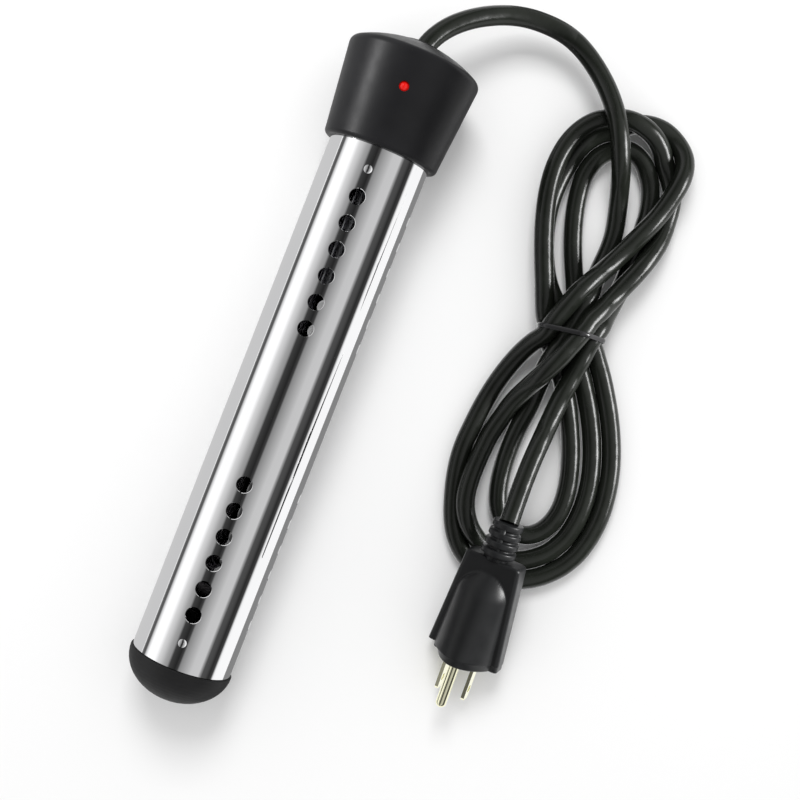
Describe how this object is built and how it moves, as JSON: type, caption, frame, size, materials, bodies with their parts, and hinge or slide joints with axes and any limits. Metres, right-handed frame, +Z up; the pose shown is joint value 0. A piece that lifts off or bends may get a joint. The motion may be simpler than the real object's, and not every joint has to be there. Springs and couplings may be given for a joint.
{
  "type": "submersible heater",
  "caption": "Submersible mains heater with a perforated steel guard tube, a flared moulded head with an indicator, a domed end cap, and a tied cord with a moulded plug.",
  "frame": {"origin": "middle of the heater's own footprint, without the cord, on the surface that it lies on", "axes": "+Y along the heater from end cap to head, +X towards the side where the cord lies, +Z up"},
  "size_m": [0.1813, 0.3353, 0.0584],
  "materials": {
    "head_plastic": "satin moulded plastic",
    "gland_rubber": "satin",
    "led_red": "clear red lens",
    "polished_steel": "mirror-polished stainless steel",
    "cap_rubber": "matte",
    "plain_steel": "machined",
    "seal_rubber": "satin",
    "element_sheath": "heat-tinted",
    "brass": "satin",
    "ceramic": "unglazed",
    "bimetal": "satin",
    "phenolic": "moulded",
    "copper": "satin",
    "silver_contact": "satin",
    "resin": "poured",
    "wire_black": "satin",
    "wire_red": "satin",
    "wire_white": "satin",
    "wire_green": "satin",
    "board_green": "satin",
    "resistor_body": "satin",
    "clamp_plastic": "moulded",
    "cord_pvc": "glossy",
    "tie_pvc": "glossy",
    "plug_pvc": "satin",
    "plated_brass": "bright"
  },
  "bodies": {
    "heater": {"head_cap": "head_plastic", "cable_gland": "gland_rubber", "indicator_led": "led_red", "guard_tube": "polished_steel", "element_flange": "plain_steel", "head_o_ring": "seal_rubber", "heating_element": "element_sheath", "terminal_pins": "brass", "ceramic_bushes": "ceramic", "thermowell": "plain_steel", "thermal_fuse": "ceramic", "thermostat_cup": "plain_steel", "thermostat_base": "phenolic", "fixed_contact": "silver_contact", "thermostat_terminals": "brass", "potting": "resin", "live_lead": "wire_black", "fuse_lead": "wire_red", "load_lead": "wire_red", "neutral_lead": "wire_white", "earth_lead": "wire_green", "earth_screw": "plain_steel", "led_board": "board_green", "led_resistor": "resistor_body", "led_leads": "wire_red", "cord_clamp": "clamp_plastic", "clamp_screws": "plain_steel", "cord_lead": "cord_pvc", "cord_hank": "cord_pvc", "cord_tail": "cord_pvc", "cord_tie": "tie_pvc", "plug_overmould": "plug_pvc", "blade_carrier": "clamp_plastic", "live_blade": "plated_brass", "neutral_blade": "plated_brass", "ground_pin": "plated_brass"},
    "pull_off_cap": {"end_cap": "cap_rubber"},
    "snap_disc": {"bimetal_disc": "bimetal", "transfer_pin": "ceramic"},
    "switch_arm": {"contact_arm": "copper", "moving_contact": "silver_contact"}
  },
  "joints": [
    {"name": "end_cap_pull", "type": "slide", "parent": "heater", "child": "pull_off_cap", "axis": [0, -0.9997, -0.0237], "range_m": [0, 0.04]},
    {"name": "transfer_pin_slide", "type": "slide", "parent": "heater", "child": "snap_disc", "axis": [0, 0.9997, 0.0237], "range_m": [0, 0.0005], "stiffness_N_per_m": 200},
    {"name": "contact_arm_hinge", "type": "hinge", "parent": "heater", "child": "switch_arm", "pos_m": [0.005, 0.12364, 0.01731], "axis": [0, 0.0237, -0.9997], "range_deg": [0, 6]}
  ],
  "couplings": [
    {"joint": "contact_arm_hinge", "follows": "transfer_pin_slide", "rad_per_m": 200}
  ]
}
